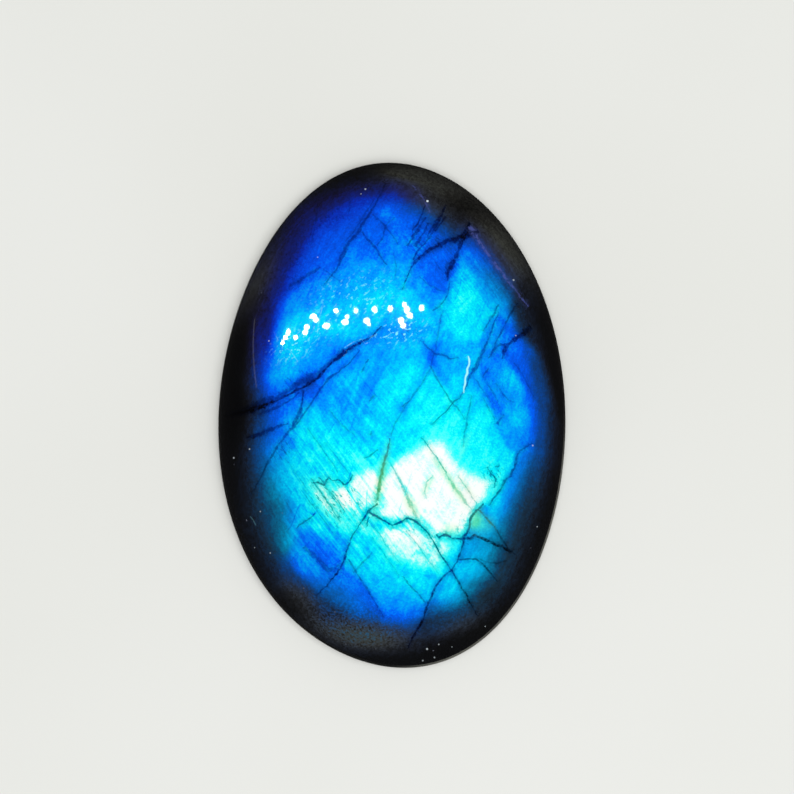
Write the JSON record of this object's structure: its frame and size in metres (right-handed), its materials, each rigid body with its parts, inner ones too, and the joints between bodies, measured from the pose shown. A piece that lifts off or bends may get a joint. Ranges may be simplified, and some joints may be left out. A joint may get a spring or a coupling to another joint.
{
  "type": "labradorite cabochon",
  "caption": "Oval polished stone with a smooth dome, narrow ground girdle and flat back; dark body with a blue to white flash and fine healed cracks.",
  "frame": {"origin": "middle of the flat back, on the surface that the stone rests on", "axes": "+Z out of the dome, +Y along the stone's length, +X across its width"},
  "size_m": [0.024, 0.035, 0.0075],
  "materials": {
    "labradorite": "high polish on the dome with a blue, cyan and white flash over a near-black body; the girdle and back are satin ground"
  },
  "bodies": {
    "root": {"cabochon": "labradorite"}
  },
  "joints": []
}
